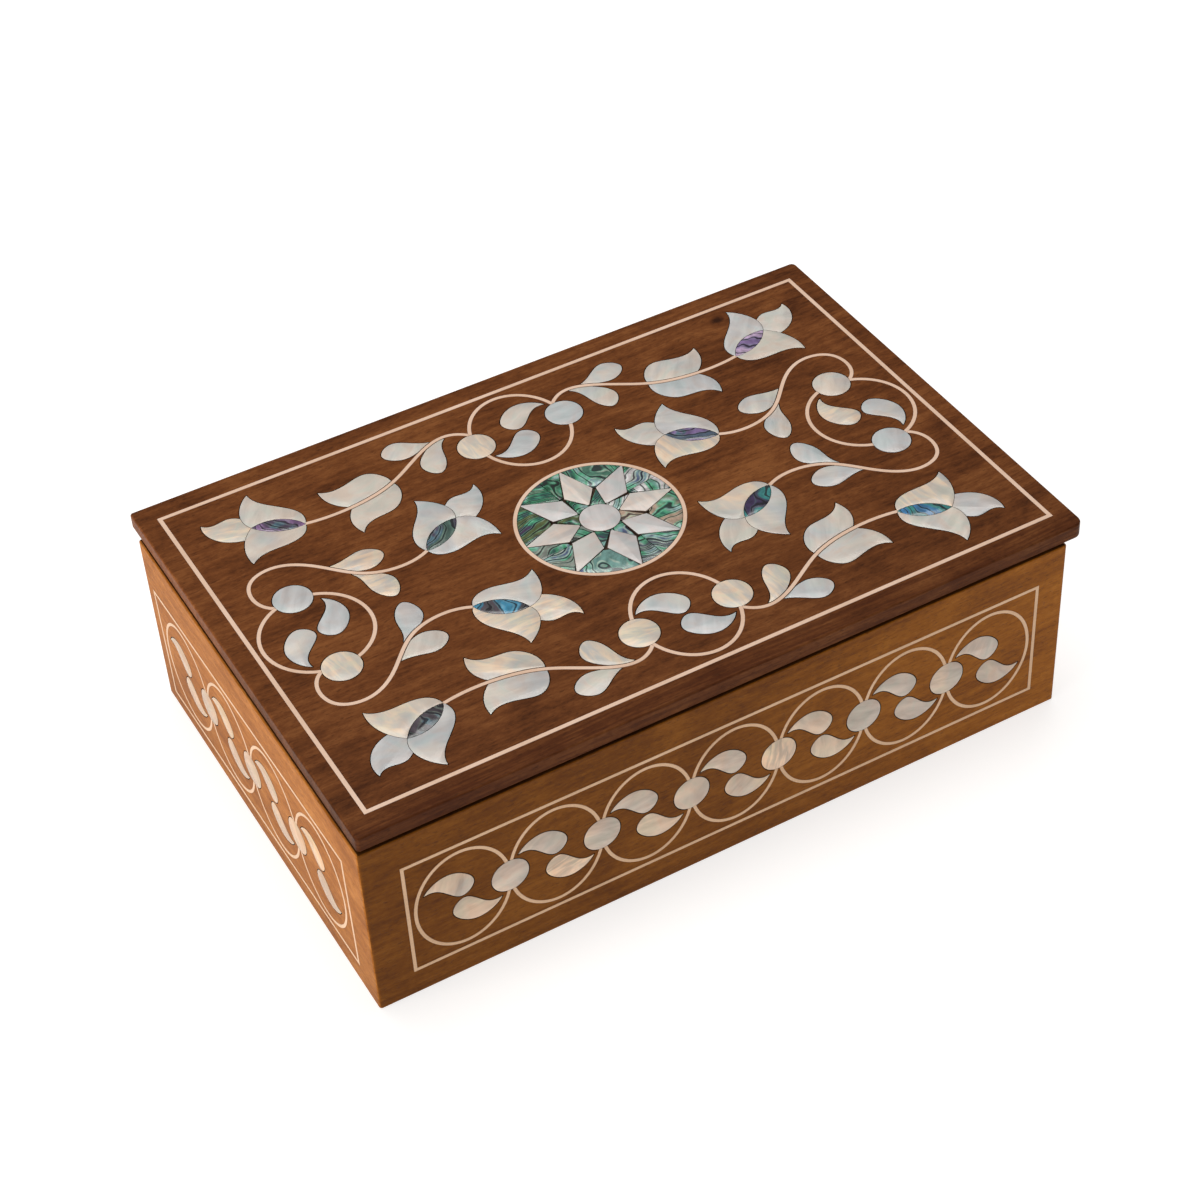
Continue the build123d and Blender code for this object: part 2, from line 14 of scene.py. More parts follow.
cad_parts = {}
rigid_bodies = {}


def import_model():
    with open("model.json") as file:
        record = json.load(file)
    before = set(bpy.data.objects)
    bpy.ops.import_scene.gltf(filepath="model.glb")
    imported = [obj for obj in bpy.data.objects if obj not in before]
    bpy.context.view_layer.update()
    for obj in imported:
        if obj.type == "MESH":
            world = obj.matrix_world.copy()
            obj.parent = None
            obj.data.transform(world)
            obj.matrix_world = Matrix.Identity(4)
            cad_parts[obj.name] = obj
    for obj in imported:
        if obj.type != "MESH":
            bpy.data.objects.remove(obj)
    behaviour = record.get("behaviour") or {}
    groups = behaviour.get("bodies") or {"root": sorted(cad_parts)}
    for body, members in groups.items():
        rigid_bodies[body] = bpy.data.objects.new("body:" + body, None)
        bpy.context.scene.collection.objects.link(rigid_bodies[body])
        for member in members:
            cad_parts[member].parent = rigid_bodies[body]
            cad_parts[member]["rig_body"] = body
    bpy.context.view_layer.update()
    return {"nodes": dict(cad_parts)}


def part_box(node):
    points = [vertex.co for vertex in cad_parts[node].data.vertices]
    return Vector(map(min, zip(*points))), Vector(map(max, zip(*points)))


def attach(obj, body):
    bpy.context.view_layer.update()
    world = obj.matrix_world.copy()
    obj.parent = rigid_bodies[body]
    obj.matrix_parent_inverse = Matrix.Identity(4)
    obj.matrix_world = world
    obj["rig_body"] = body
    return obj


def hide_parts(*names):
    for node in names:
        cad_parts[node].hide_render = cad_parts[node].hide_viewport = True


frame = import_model()
nodes = frame["nodes"]

MM = 0.001
X, Y, Z = 0, 1, 2
OUTWARD = {"front": (0, -1, 0), "back": (0, 1, 0), "left": (-1, 0, 0), "right": (1, 0, 0)}
ARRIS = 0.08 * MM
MERGE_DISTANCE = 0.002 * MM
FLAT_ANGLE = math.radians(0.5)
SHARP_ANGLE = math.radians(40)

# ---------------------------------------------------------------- camera, floor and light
CAMERA_AZIMUTH = -27.273
CAMERA_ELEVATION = 42.211
CAMERA_ROLL = -3.557
CAMERA_DISTANCE = 0.82073
CAMERA_TARGET = (0.0027, 0.00536, 0.035)
CAMERA_LENS = 79.53

FLOOR_SIZE = 12.0
FLOOR_COLOUR = (0.55, 0.54, 0.53)
FLOOR_GLOW = 0.70
WORLD_COLOUR = (1.0, 0.995, 0.985)
WORLD_STRENGTH = 0.22

# name, place, aimed at, width and height of the lamp, watts, colour
LAMPS = [
    ("key_left", (-1.25, -0.15, 0.42), (-0.1, 0.0, 0.03), (0.9, 0.6), 9.8, (1.0, 0.95, 0.88)),
    ("top", (0.1, 0.35, 1.5), (0.0, 0.0, 0.05), (1.3, 0.9), 14.5, (1.0, 0.98, 0.96)),
]


def make_camera():
    """The camera, at the angle from which the box is shown."""
    azimuth, elevation, roll = [math.radians(a) for a in (CAMERA_AZIMUTH, CAMERA_ELEVATION, CAMERA_ROLL)]
    back = Vector((
        math.sin(azimuth) * math.cos(elevation),
        -math.cos(azimuth) * math.cos(elevation),
        math.sin(elevation),
    ))
    level_right = (-back).cross(Vector((0, 0, 1))).normalized()
    level_up = level_right.cross(-back)
    right = level_right * math.cos(roll) + level_up * math.sin(roll)
    up = level_up * math.cos(roll) - level_right * math.sin(roll)
    data = bpy.data.cameras.new("camera")
    data.sensor_width = 36.0
    data.lens = CAMERA_LENS
    camera = bpy.data.objects.new("camera", data)
    turn = Matrix((right, up, back)).transposed().to_4x4()
    camera.matrix_world = Matrix.Translation(Vector(CAMERA_TARGET) + back * CAMERA_DISTANCE) @ turn
    bpy.context.scene.collection.objects.link(camera)
    bpy.context.scene.camera = camera


def make_lamp(name, place, aim, size, watts, colour):
    """A soft rectangular lamp that lights the scene but isn't itself seen."""
    data = bpy.data.lights.new(name, "AREA")
    data.shape = "RECTANGLE"
    data.size, data.size_y = size
    data.energy = watts
    data.color = colour
    lamp = bpy.data.objects.new(name, data)
    direction = Vector(aim) - Vector(place)
    lamp.matrix_world = Matrix.Translation(place) @ direction.to_track_quat("-Z", "Y").to_matrix().to_4x4()
    lamp.visible_camera = False
    bpy.context.scene.collection.objects.link(lamp)


def make_world():
    """An even, nearly white surround."""
    world = bpy.data.worlds.new("surround")
    world.use_nodes = True
    sky = world.node_tree.nodes["Background"]
    sky.inputs["Color"].default_value = (*WORLD_COLOUR, 1)
    sky.inputs["Strength"].default_value = WORLD_STRENGTH
    bpy.context.scene.world = world


def make_floor():
    """A plain white floor that shades off only close under the box."""
    half = FLOOR_SIZE / 2
    corners = [(-half, -half, 0), (half, -half, 0), (half, half, 0), (-half, half, 0)]
    mesh = bpy.data.meshes.new("floor")
    mesh.from_pydata(corners, [], [(0, 1, 2, 3)])
    floor = bpy.data.objects.new("floor", mesh)
    bpy.context.scene.collection.objects.link(floor)
    paper = bpy.data.materials.new("floor_paper")
    paper.use_nodes = True
    shader = paper.node_tree.nodes["Principled BSDF"]
    shader.inputs["Base Color"].default_value = (*FLOOR_COLOUR, 1)
    shader.inputs["Roughness"].default_value = 0.9
    shader.inputs["Specular IOR Level"].default_value = 0.0
    shader.inputs["Emission Color"].default_value = (1, 1, 1, 1)
    shader.inputs["Emission Strength"].default_value = FLOOR_GLOW
    mesh.materials.append(paper)


# ---------------------------------------------------------------- node writing
# a Wave texture at a scale of 1 turns by this many radians per unit
WAVE_RADIANS = 20


def rgb(red, green, blue):
    """A colour given as 0 to 255 screen values, as the renderer's linear ones."""
    def linear(value):
        value /= 255
        return value / 12.92 if value <= 0.04045 else ((value + 0.055) / 1.055) ** 2.4
    return (linear(red), linear(green), linear(blue), 1.0)


class Paint:
    """One material, with a short call for each kind of node."""

    def __init__(self, name, **finish):
        self.material = bpy.data.materials.new(name)
        self.material.use_nodes = True
        self.tree = self.material.node_tree
        self.shader = self.tree.nodes["Principled BSDF"]
        self.assign(self.shader, **finish)
        coordinates = self.tree.nodes.new("ShaderNodeTexCoord").outputs["Object"]
        self.place = self.vector("MULTIPLY", coordinates, (1000, 1000, 1000))
        self.x, self.y, self.z = self.split(self.place)

    def assign(self, node, **values):
        """Set a node's sockets, each named with _ for a space."""
        for socket, value in values.items():
            node.inputs[socket.replace("_", " ")].default_value = value

    def feed(self, socket, value):
        """Link a socket, or set it where the value is plain."""
        if isinstance(value, bpy.types.NodeSocket):
            self.tree.links.new(value, socket)
        elif value is not None:
            socket.default_value = value

    def node(self, kind, *values, **settings):
        """A new node, with its settings and its first inputs."""
        node = self.tree.nodes.new("ShaderNode" + kind)
        for setting, value in settings.items():
            setattr(node, setting, value)
        for socket, value in zip(node.inputs, values):
            self.feed(socket, value)
        return node

    def math(self, operation, *values):
        return self.node("Math", *values, operation=operation).outputs[0]

    def vector(self, operation, *values):
        return self.node("VectorMath", *values, operation=operation).outputs[0]

    def split(self, vector):
        return self.node("SeparateXYZ", vector).outputs[:3]

    def join(self, x, y, z):
        return self.node("CombineXYZ", x, y, z).outputs[0]

    def noise(self, vector, stretch, detail=3.0, roughness=0.5, distortion=0.0):
        """Cloudy noise from 0 to 1; stretch is its cycles per millimetre along each axis."""
        node = self.node("TexNoise")
        self.feed(node.inputs["Vector"], self.vector("MULTIPLY", vector, stretch))
        self.assign(node, Scale=1.0, Detail=detail, Roughness=roughness, Distortion=distortion)
        return node.outputs["Fac"]

    def waves(self, vector, period, distortion, detail=2.0, detail_scale=1.0, direction="X"):
        """Smooth parallel bands from 0 to 1, a period apart in millimetres, bent by noise."""
        node = self.node("TexWave", wave_type="BANDS", bands_direction=direction, wave_profile="SIN")
        self.feed(node.inputs["Vector"], vector)
        self.assign(node, Scale=math.tau / WAVE_RADIANS / period, Distortion=distortion)
        self.assign(node, Detail=detail, Detail_Scale=detail_scale)
        return node.outputs["Fac"]

    def fit(self, value, low, high, new_low=0.0, new_high=1.0):
        """A value's range from low to high, eased onto a new range."""
        node = self.node("MapRange", value, low, high, new_low, new_high, interpolation_type="SMOOTHSTEP")
        return node.outputs[0]

    def between(self, value, low, high, soft):
        """1 between low and high and 0 outside, over a soft edge."""
        rising = self.fit(value, low - soft, low + soft)
        falling = self.fit(value, high - soft, high + soft, 1.0, 0.0)
        return self.math("MULTIPLY", rising, falling)

    def ramp(self, value, *stops, interpolation="LINEAR"):
        """Colours along a value; each stop is a place from 0 to 1 and a colour."""
        node = self.node("ValToRGB", value)
        node.color_ramp.interpolation = interpolation
        elements = node.color_ramp.elements
        while len(elements) < len(stops):
            elements.new(1.0)
        for element, (place, colour) in zip(elements, stops):
            element.position = place
            element.color = colour
        return node.outputs["Color"]

    def mix(self, factor, a, b, blend="MIX"):
        node = self.node("Mix", data_type="RGBA", blend_type=blend)
        for socket, value in ((node.inputs[0], factor), (node.inputs[6], a), (node.inputs[7], b)):
            self.feed(socket, value)
        return node.outputs[2]

    def scaled(self, colour, factor):
        """A colour made lighter or darker by a factor."""
        return self.mix(1.0, colour, self.join(factor, factor, factor), "MULTIPLY")

    def carried(self, name):
        """A number that the inlaid pieces carry on their vertices."""
        node = self.node("Attribute", attribute_type="GEOMETRY")
        node.attribute_name = name
        return node.outputs["Fac"]

    def bump(self, height, distance, strength=1.0):
        """Fine relief; distance is its depth in metres."""
        node = self.node("Bump")
        self.assign(node, Strength=strength, Distance=distance)
        self.feed(node.inputs["Height"], height)
        self.feed(self.shader.inputs["Normal"], node.outputs[0])

    def finish(self, colour, roughness=None):
        self.feed(self.shader.inputs["Base Color"], colour)
        self.feed(self.shader.inputs["Roughness"], roughness)
        return self.material


# ---------------------------------------------------------------- wood
# how much each layer of the grain counts in the colour
GRAIN_WEIGHTS = {
    "streaks": 0.24, "bands": 0.12, "lines": 0.04, "fibres": 0.30, "mottle": 0.50, "flecks": 0.34,
}
GLUE_COLOUR = (34, 20, 12)
MEDALLION_GLUE_COLOUR = (78, 62, 50)
# painted shadow of the lid on the walls' top faces
LID_SHADOW_COLOUR = (30, 17, 10)
PORE_COLOUR = (44, 21, 8)
HEART_COLOUR = (62, 27, 14)
KNOT_COLOUR = (38, 20, 14)


def span(node):
    """A node's lowest and highest corners in millimetres."""
    low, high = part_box(node)
    return [v * 1000 for v in low], [v * 1000 for v in high]


def depth_under(paint, board, axis, outward):
    """Depth under a board's inlaid face."""
    low, high = span(board)
    face = high[axis] if outward > 0 else low[axis]
    return paint.math("MULTIPLY", paint.math("SUBTRACT", face, (paint.x, paint.y, paint.z)[axis]), outward)


def glue_line(paint, board, frame_node, axis, outward):
    """1 on the walls and floors of the shallow hollows in one face of a board, where dark glue shows."""
    sockets = (paint.x, paint.y, paint.z)
    mask = paint.between(depth_under(paint, board, axis, outward), 0.05, 1.3, 0.03)
    frame_low, frame_high = span(frame_node)
    for other in {X, Y, Z} - {axis}:
        inside = paint.between(sockets[other], frame_low[other] - 0.4, frame_high[other] + 0.4, 0.05)
        mask = paint.math("MULTIPLY", mask, inside)
    return mask


def distance(paint, axes, spot, squeeze=1.0):
    """Distance on a board's face from a spot, counted more steeply across the grain by squeeze."""
    sockets = (paint.x, paint.y, paint.z)
    lengthways = paint.math("SUBTRACT", sockets[axes[0]], spot[0])
    crossways = paint.math("MULTIPLY", paint.math("SUBTRACT", sockets[axes[1]], spot[1]), squeeze)
    offset = paint.join(lengthways, crossways, 0.0)
    return paint.node("VectorMath", offset, operation="LENGTH").outputs["Value"]


def grain(paint, along, across, through, seed, knot=None):
    """Streaks, growth lines, fibres, pores and mottle of a board, each from 0 to 1."""
    sockets = (paint.x, paint.y, paint.z)
    length, width, depth = sockets[along], sockets[across], sockets[through]
    if knot:
        knot_length, knot_width, reach = knot
        from_knot = paint.math("SUBTRACT", length, knot_length)
        aside = paint.math("SUBTRACT", width, knot_width)
        squared = paint.math("ADD", paint.math("POWER", from_knot, 2.0), paint.math("POWER", aside, 2.0))
        near = paint.math("EXPONENT", paint.math("DIVIDE", squared, -reach * reach))
        push = paint.math("MULTIPLY", near, paint.fit(aside, -reach, reach, -0.6 * reach, 0.6 * reach))
        width = paint.math("SUBTRACT", width, push)
    place = paint.vector("ADD", paint.join(length, width, depth), (seed * 37.0, seed * 19.0, seed * 53.0))
    bend = paint.math("MULTIPLY", paint.noise(place, (0.008, 0.02, 0.02), 2.0), 9.0)
    bent = paint.vector("ADD", place, paint.join(0.0, bend, 0.0))
    return {
        "streaks": paint.noise(bent, (0.006, 0.16, 0.16), 4.0, 0.6),
        "bands": paint.noise(bent, (0.02, 0.8, 0.8), 3.0, 0.6),
        "lines": paint.waves(bent, 4.6, 3.0, 3.0, 0.4, "Y"),
        "fibres": paint.noise(bent, (0.11, 1.3, 1.3), 4.0, 0.7),
        "pores": paint.noise(bent, (0.42, 1.9, 1.9), 3.0, 0.6),
        "mottle": paint.noise(place, (0.035, 0.055, 0.055), 4.0, 0.6, 0.8),
        "flecks": paint.noise(bent, (0.38, 0.95, 0.95), 4.0, 0.7),
    }


def wood(
    name, board, axes, seed, colours, gloss=0.06,
    tones_and_shade=None, pattern=None, medallion=None, knot=None, heart=None, rim=None, end_grain=None,
):
    """Oiled walnut; colours run from dark to light, and a ramp along one axis (1/2 is neutral) colours it,
    which on the end boards is painted shade; the walls' top faces under the lid get a painted shadow.
    """
    along, across, through = axes
    paint = Paint(name, Specular_IOR_Level=gloss)
    sockets = (paint.x, paint.y, paint.z)
    made = grain(paint, along, across, through, seed, knot)
    tone = 0.0
    for layer, weight in GRAIN_WEIGHTS.items():
        lean = paint.math("SUBTRACT", made[layer], 0.5)
        tone = paint.math("ADD", tone, paint.math("MULTIPLY", lean, weight))
    dark, middle, light = colours
    colour = paint.ramp(paint.math("ADD", tone, 0.5), (0.33, dark), (0.5, middle), (0.67, light))
    low, high = span(board)
    # the ramp along one axis: on the end boards painted shade, darker towards the bottom; on the other
    # boards the wood's own tone
    if tones_and_shade:
        axis, *stops = tones_and_shade
        from_low = paint.math("SUBTRACT", sockets[axis], low[axis])
        travel = paint.math("DIVIDE", from_low, high[axis] - low[axis])
        tone_and_shade = paint.ramp(travel, *((i / (len(stops) - 1), stop) for i, stop in enumerate(stops)))
        colour = paint.mix(1.0, paint.scaled(colour, 2.0), tone_and_shade, "MULTIPLY")
    if end_grain:
        inside = paint.between(sockets[along], low[along] + 0.3, high[along] - 0.3, 0.15)
        at_ends = paint.fit(sockets[across], low[across], high[across], *end_grain)
        rise = paint.math("MULTIPLY", inside, paint.math("SUBTRACT", 1.0, at_ends))
        colour = paint.scaled(colour, paint.math("ADD", at_ends, rise))
    if heart:
        centre, reach = heart
        near = paint.between(sockets[across], centre - reach, centre + reach, reach * 0.3)
        lines = paint.fit(made["bands"], 0.42, 0.58, 0.15, 0.60)
        colour = paint.mix(paint.math("MULTIPLY", lines, near), colour, rgb(*HEART_COLOUR))
    pores = paint.fit(made["pores"], 0.56, 0.68)
    colour = paint.mix(paint.math("MULTIPLY", pores, 0.40), colour, rgb(*PORE_COLOUR))
    if knot:
        ragged = paint.math("MULTIPLY", paint.noise(paint.place, (0.9, 0.9, 0.9)), 1.6)
        radius = paint.math("ADD", distance(paint, axes, knot, 1.5), ragged)
        colour = paint.mix(paint.fit(radius, 1.6, 4.2, 0.85, 0.0), colour, rgb(*KNOT_COLOUR))
    if pattern:
        glue = rgb(*GLUE_COLOUR)
        if medallion:
            outside = paint.fit(distance(paint, axes, medallion), 23.0, 26.0)
            glue = paint.mix(outside, rgb(*MEDALLION_GLUE_COLOUR), glue)
        colour = paint.mix(glue_line(paint, board, *pattern), colour, glue)
    # painted shadow: the top faces of the walls, from a little in from their outer faces, are darkened
    # where the lid's shade falls on them
    if rim:
        strength, inset = rim
        shadowed_top = paint.fit(paint.z, high[Z] - 0.12, high[Z] - 0.04, 0.0, strength)
        inner = paint.fit(depth_under(paint, board, *pattern[1:]), inset - 0.1, inset + 0.1)
        colour = paint.mix(paint.math("MULTIPLY", shadowed_top, inner), colour, rgb(*LID_SHADOW_COLOUR))
    relief = paint.math("SUBTRACT", paint.math("MULTIPLY", made["fibres"], 0.35), pores)
    paint.bump(relief, 0.00004, 0.6)
    roughness = paint.math("ADD", 0.36, paint.math("MULTIPLY", made["fibres"], 0.14))
    return paint.finish(colour, roughness)


def string_wood(name, dark, middle, light):
    """Pale maple string with a fine grain and slight changes of tone along it."""
    paint = Paint(name, Specular_IOR_Level=0.3, Coat_Weight=0.05, Coat_Roughness=0.2)
    tone = paint.noise(paint.place, (0.06, 0.06, 0.06), 2.0)
    fibre = paint.noise(paint.place, (1.6, 1.6, 1.6), 3.0, 0.6)
    tone = paint.math("ADD", paint.math("MULTIPLY", tone, 0.6), paint.math("MULTIPLY", fibre, 0.4))
    colour = paint.ramp(tone, (0.25, dark), (0.5, middle), (0.75, light))
    paint.bump(fibre, 0.00002, 0.4)
    return paint.finish(colour, 0.42)


# ---------------------------------------------------------------- shell
def own_place(paint, chance):
    """Coordinates turned and shifted by a random number, so that each piece is cut from another spot."""
    turn = paint.node("VectorRotate", rotation_type="EULER_XYZ")
    paint.feed(turn.inputs["Vector"], paint.place)
    angle = paint.math("MULTIPLY", chance, math.tau)
    other_angles = [paint.math("MULTIPLY", angle, factor) for factor in (1.7, 2.3)]
    paint.feed(turn.inputs["Rotation"], paint.join(angle, *other_angles))
    shift = paint.math("MULTIPLY", chance, 900.0)
    return paint.vector("ADD", turn.outputs[0], paint.join(shift, shift, shift))


def pearl(name, cool, warm, cream, gloss=0.5, contrast=0.42):
    """Mother-of-pearl: cool and warm white clouds, fine growth bands and a few creamy pieces."""
    paint = Paint(name, Specular_IOR_Level=gloss, Coat_Weight=gloss * 0.4, Coat_Roughness=0.12)
    chance = paint.carried("chance")
    own = own_place(paint, chance)
    cloud = paint.noise(own, (0.07, 0.07, 0.07), 2.0, 0.5, 0.6)
    flame = paint.noise(own, (0.5, 0.10, 0.10), 3.0, 0.55, 0.5)
    bands = paint.waves(own, 4.0, 4.0, 2.0, 0.5)
    lean = paint.math("ADD", cloud, paint.fit(chance, 0.0, 1.0, -0.22, 0.22))
    colour = paint.mix(paint.fit(lean, 0.30, 0.72), cool, warm)
    creamy = paint.math("MULTIPLY", paint.math("GREATER_THAN", chance, 0.78), paint.fit(flame, 0.40, 0.62))
    colour = paint.mix(paint.math("MULTIPLY", creamy, 0.85), colour, cream)
    sheen = paint.noise(own, (0.13, 0.2, 0.13), 2.0, 0.5, 1.0)
    rosy = (1.0, 0.93, 0.90, 1)
    bluish = (0.92, 1.0, 1.0, 1)
    glance = paint.ramp(sheen, (0.34, rosy), (0.5, (1, 1, 1, 1)), (0.66, bluish))
    colour = paint.mix(1.0, colour, glance, "MULTIPLY")
    shade = paint.math("MULTIPLY", paint.math("ADD", paint.math("ADD", flame, cloud), -1.0), contrast)
    shade = paint.math("ADD", shade, paint.math("MULTIPLY", bands, 0.06))
    colour = paint.scaled(colour, paint.math("ADD", shade, 0.97))
    colour = paint.mix(paint.math("MULTIPLY", paint.carried("rim"), 0.9), colour, rgb(84, 54, 34))
    paint.bump(paint.math("ADD", cloud, paint.math("MULTIPLY", flame, 0.3)), 0.0003, 0.5)
    return paint.finish(colour, 0.26)


def abalone(name, main, crossing, period, pallor):
    """Abalone shell: green, blue and violet sheets crossed by dark wavy growth lines."""
    paint = Paint(name, Specular_IOR_Level=0.5, Coat_Weight=0.4, Coat_Roughness=0.08)
    own = own_place(paint, paint.carried("chance"))
    sheet = paint.noise(own, (0.12, 0.12, 0.12), 2.0, 0.5, 0.8)
    fine = paint.noise(own, (0.5, 0.25, 0.5), 3.0, 0.6)
    drift = paint.math("SUBTRACT", paint.noise(own, (0.05, 0.07, 0.07), 1.0), 0.5)
    ripple = paint.math("SUBTRACT", paint.noise(own, (0.12, 0.20, 0.12), 1.0), 0.5)
    bend = paint.math("ADD", paint.math("MULTIPLY", drift, 16.0), paint.math("MULTIPLY", ripple, 5.0))
    bent = paint.vector("ADD", own, paint.join(bend, 0.0, 0.0))
    broad = paint.waves(bent, period * 3.1, 0.6, 1.0, 0.3)
    narrow = paint.waves(bent, period, 0.7, 2.0, 0.4)
    colour = paint.mix(paint.fit(broad, 0.3, 0.7), main(paint), crossing(paint, sheet))
    pale = paint.math("MULTIPLY", paint.fit(sheet, 0.50, 0.62), paint.between(narrow, 0.30, 0.78, 0.12))
    colour = paint.mix(paint.math("MULTIPLY", pale, pallor), colour, rgb(196, 206, 190))
    glint = paint.between(narrow, 0.62, 0.80, 0.08)
    colour = paint.mix(paint.math("MULTIPLY", glint, 0.6 * pallor), colour, rgb(134, 214, 180))
    dark = paint.fit(narrow, 0.84, 0.96)
    colour = paint.mix(paint.math("MULTIPLY", dark, 0.88), colour, rgb(26, 26, 32))
    colour = paint.scaled(colour, paint.fit(fine, 0.25, 0.75, 0.62, 1.38))
    paint.bump(narrow, 0.0001, 0.3)
    return paint.finish(colour, 0.18)


def facing(work, outward, least):
    """The faces that look outward, within a least cosine."""
    return [face for face in work.faces if face.normal.dot(Vector(outward)) > least]


def separate_pieces(work):
    """Lists of the vertices that hang together."""
    unseen = set(work.verts)
    while unseen:
        found = [unseen.pop()]
        for vertex in found:
            for edge in vertex.link_edges:
                other = edge.other_vert(vertex)
                if other in unseen:
                    unseen.remove(other)
                    found.append(other)
        yield found


def inlaid_pieces(node, outward, finish):
    """A node's inlaid pieces with eased rims; vertices carry their piece's chance and mark its rim."""
    work = bmesh.new()
    work.from_mesh(nodes[node].data)
    bmesh.ops.remove_doubles(work, verts=work.verts, dist=MERGE_DISTANCE)
    bmesh.ops.dissolve_limit(work, angle_limit=FLAT_ANGLE, verts=work.verts, edges=work.edges)
    tops = set(facing(work, outward, 0.99))
    rims = {edge for face in tops for edge in face.edges if not tops.issuperset(edge.link_faces)}
    bmesh.ops.bevel(
        work, geom=list(rims), offset=ARRIS, segments=2, profile=0.5, affect="EDGES", clamp_overlap=True,
    )
    rim_layer = work.verts.layers.float.new("rim")
    chance_layer = work.verts.layers.float.new("chance")
    flat = {vertex for face in facing(work, outward, 0.999) for vertex in face.verts}
    for vertex in work.verts:
        vertex[rim_layer] = 0.0 if vertex in flat else 1.0
    for vertices in separate_pieces(work):
        sides = [[vertex.co[axis] for vertex in vertices] for axis in (X, Y, Z)]
        middle = [round(500 * (min(side) + max(side))) for side in sides]  # in whole millimetres
        chance = random.Random(f"{node} {middle}").random()
        for vertex in vertices:
            vertex[chance_layer] = chance
    mesh = bpy.data.meshes.new(node + "_cut")
    work.to_mesh(mesh)
    work.free()
    mesh.materials.append(finish)
    mesh.shade_smooth()
    mesh.set_sharp_from_angle(angle=SHARP_ANGLE)
    piece = bpy.data.objects.new(node + "_cut", mesh)
    bpy.context.scene.collection.objects.link(piece)
    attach(piece, nodes[node]["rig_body"])
    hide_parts(node)


def around(paint, centre):
    """The angle round a centre on the lid, as turns from 0 to 1 counted from +X."""
    dx = paint.math("SUBTRACT", paint.x, centre[0])
    dy = paint.math("SUBTRACT", paint.y, centre[1])
    turns = paint.math("DIVIDE", paint.math("ARCTAN2", dy, dx), math.tau)
    return paint.math("FRACT", paint.math("ADD", turns, 1.0))


# ---------------------------------------------------------------- metal and cloth
def brass(name, tone):
    """Lacquered brass with fine rubbed scratches and slight tarnish."""
    paint = Paint(name, Metallic=1.0)
    rubbed = paint.noise(paint.place, (0.4, 6.0, 6.0), 3.0, 0.6)
    tarnish = paint.noise(paint.place, (0.25, 0.25, 0.25), 3.0, 0.6)
    colour = paint.ramp(tarnish, (0.3, rgb(150, 112, 58)), (0.55, tone), (0.8, rgb(226, 190, 118)))
    paint.bump(rubbed, 0.00002, 0.3)
    return paint.finish(colour, paint.fit(rubbed, 0.2, 0.8, 0.24, 0.42))


def velvet(name):
    """Wine-red velvet: short pile that catches the light at its edges, brushed in soft patches."""
    paint = Paint(name, Specular_IOR_Level=0.1, Sheen_Weight=0.9, Sheen_Roughness=0.35)
    paint.shader.inputs["Sheen Tint"].default_value = rgb(236, 120, 120)
    brushed = paint.noise(paint.place, (0.03, 0.05, 0.05), 3.0, 0.6, 0.8)
    pile = paint.noise(paint.place, (3.0, 3.0, 3.0), 2.0, 0.6)
    tone = paint.math("ADD", paint.math("MULTIPLY", brushed, 0.7), paint.math("MULTIPLY", pile, 0.3))
    colour = paint.ramp(tone, (0.3, rgb(76, 10, 19)), (0.55, rgb(98, 14, 26)), (0.8, rgb(119, 20, 33)))
    paint.bump(pile, 0.0002, 0.5)
    return paint.finish(colour, 0.85)


